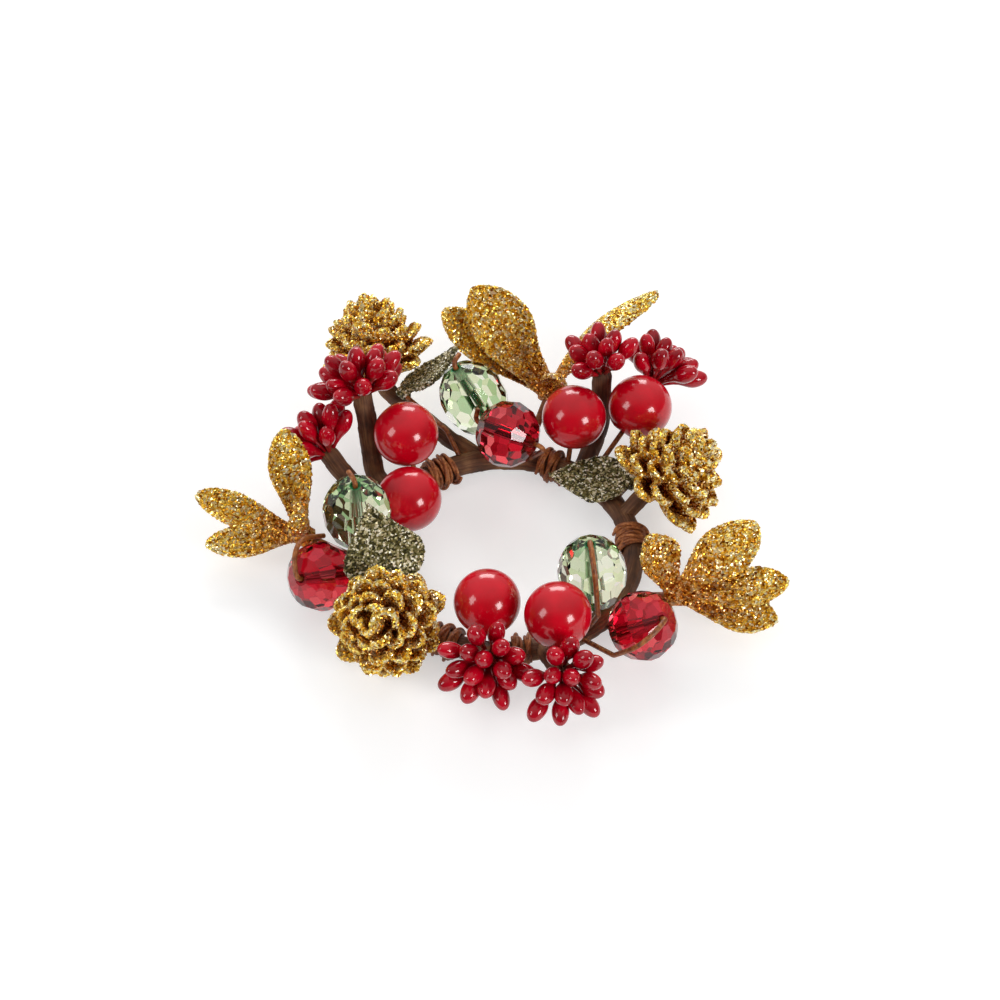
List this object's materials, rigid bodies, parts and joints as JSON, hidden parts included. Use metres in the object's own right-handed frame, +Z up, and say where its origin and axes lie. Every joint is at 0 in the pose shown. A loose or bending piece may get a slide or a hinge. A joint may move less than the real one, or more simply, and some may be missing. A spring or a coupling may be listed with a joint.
{
  "type": "candle ring",
  "caption": "Small wreath on a paper-wrapped wire hoop with gold glitter cones and flowers, red berries, buds, faceted beads and frosted leaves, laid round a candle.",
  "frame": {"origin": "middle of the candle opening, on the table that the ring rests on", "axes": "+Z up from the table, -Y towards the viewer of the picture, +X to that viewer's right"},
  "size_m": [0.1263, 0.1125, 0.0335],
  "materials": {
    "steel_wire": "drawn, bare",
    "paper_tape": "matte wound paper tape",
    "paper_twine": "matte twisted paper",
    "covered_wire": "satin brown cover",
    "red_lacquer": "high gloss lacquer",
    "ruby_acrylic": "clear tinted, cut facets",
    "green_acrylic": "clear tinted, cut facets",
    "bud_red": "gloss dipped",
    "gold_glitter": "coarse gold glitter flake",
    "frosted_leaf": "silver glitter on dull green"
  },
  "bodies": {
    "ring": {"hoop_wire": "steel_wire", "hoop_wrap": "paper_tape", "binding_a1": "paper_twine", "binding_a2": "paper_twine", "binding_b1": "paper_twine", "binding_b2": "paper_twine", "binding_c1": "paper_twine", "binding_c2": "paper_twine", "berry_a1": "red_lacquer", "berry_a2": "red_lacquer", "berry_b1": "red_lacquer", "berry_b2": "red_lacquer", "berry_c1": "red_lacquer", "berry_c2": "red_lacquer", "berry_wires_a": "covered_wire", "berry_wires_b": "covered_wire", "berry_wires_c": "covered_wire", "ruby_wire_a": "covered_wire", "green_wire_a": "covered_wire", "ruby_wire_b": "covered_wire", "green_wire_b": "covered_wire", "ruby_wire_c": "covered_wire", "green_wire_c": "covered_wire", "pip_stem_a1": "paper_tape", "pips_a1": "bud_red", "pip_stem_a2": "paper_tape", "pips_a2": "bud_red", "pip_stem_b1": "paper_tape", "pips_b1": "bud_red", "pip_stem_b2": "paper_tape", "pips_b2": "bud_red", "pip_stem_c1": "paper_tape", "pips_c1": "bud_red", "pip_stem_c2": "paper_tape", "pips_c2": "bud_red", "cone_stem_a": "paper_tape", "cone_a": "gold_glitter", "flower_stem_a": "covered_wire", "flower_a": "gold_glitter", "leaf_wire_a": "covered_wire", "leaf_a": "frosted_leaf", "cone_stem_b": "paper_tape", "cone_b": "gold_glitter", "flower_stem_b": "covered_wire", "flower_b": "gold_glitter", "leaf_wire_b": "covered_wire", "leaf_b": "frosted_leaf", "cone_stem_c": "paper_tape", "cone_c": "gold_glitter", "flower_stem_c": "covered_wire", "flower_c": "gold_glitter", "leaf_wire_c": "covered_wire", "leaf_c": "frosted_leaf"},
    "ruby_bead_a_body": {"ruby_bead_a": "ruby_acrylic"},
    "green_bead_a_body": {"green_bead_a": "green_acrylic"},
    "ruby_bead_b_body": {"ruby_bead_b": "ruby_acrylic"},
    "green_bead_b_body": {"green_bead_b": "green_acrylic"},
    "ruby_bead_c_body": {"ruby_bead_c": "ruby_acrylic"},
    "green_bead_c_body": {"green_bead_c": "green_acrylic"}
  },
  "joints": [
    {"name": "ruby_a_turn", "type": "hinge", "parent": "ring", "child": "ruby_bead_a_body", "pos_m": [-0.03882, -0.0112, 0.0086], "axis": [-0.569, -0.5892, 0.5736], "continuous": true},
    {"name": "ruby_b_turn", "type": "hinge", "parent": "ring", "child": "ruby_bead_b_body", "pos_m": [0.00066, 0.02519, 0.0137], "axis": [-0.8707, 0.4906, -0.0349], "continuous": true},
    {"name": "ruby_c_turn", "type": "hinge", "parent": "ring", "child": "ruby_bead_c_body", "pos_m": [0.02859, -0.02593, 0.01], "axis": [0.5515, -0.365, 0.7501], "continuous": true},
    {"name": "green_a_turn", "type": "hinge", "parent": "ring", "child": "green_bead_a_body", "pos_m": [-0.0313, -0.00055, 0.017], "axis": [0, -0.0698, 0.9976], "continuous": true},
    {"name": "green_b_turn", "type": "hinge", "parent": "ring", "child": "green_bead_b_body", "pos_m": [-0.00682, 0.03789, 0.0117], "axis": [-0.4318, 0.1403, 0.891], "continuous": true},
    {"name": "green_c_turn", "type": "hinge", "parent": "ring", "child": "green_bead_c_body", "pos_m": [0.01815, -0.01555, 0.0147], "axis": [-0.0698, 0, 0.9976], "continuous": true}
  ]
}
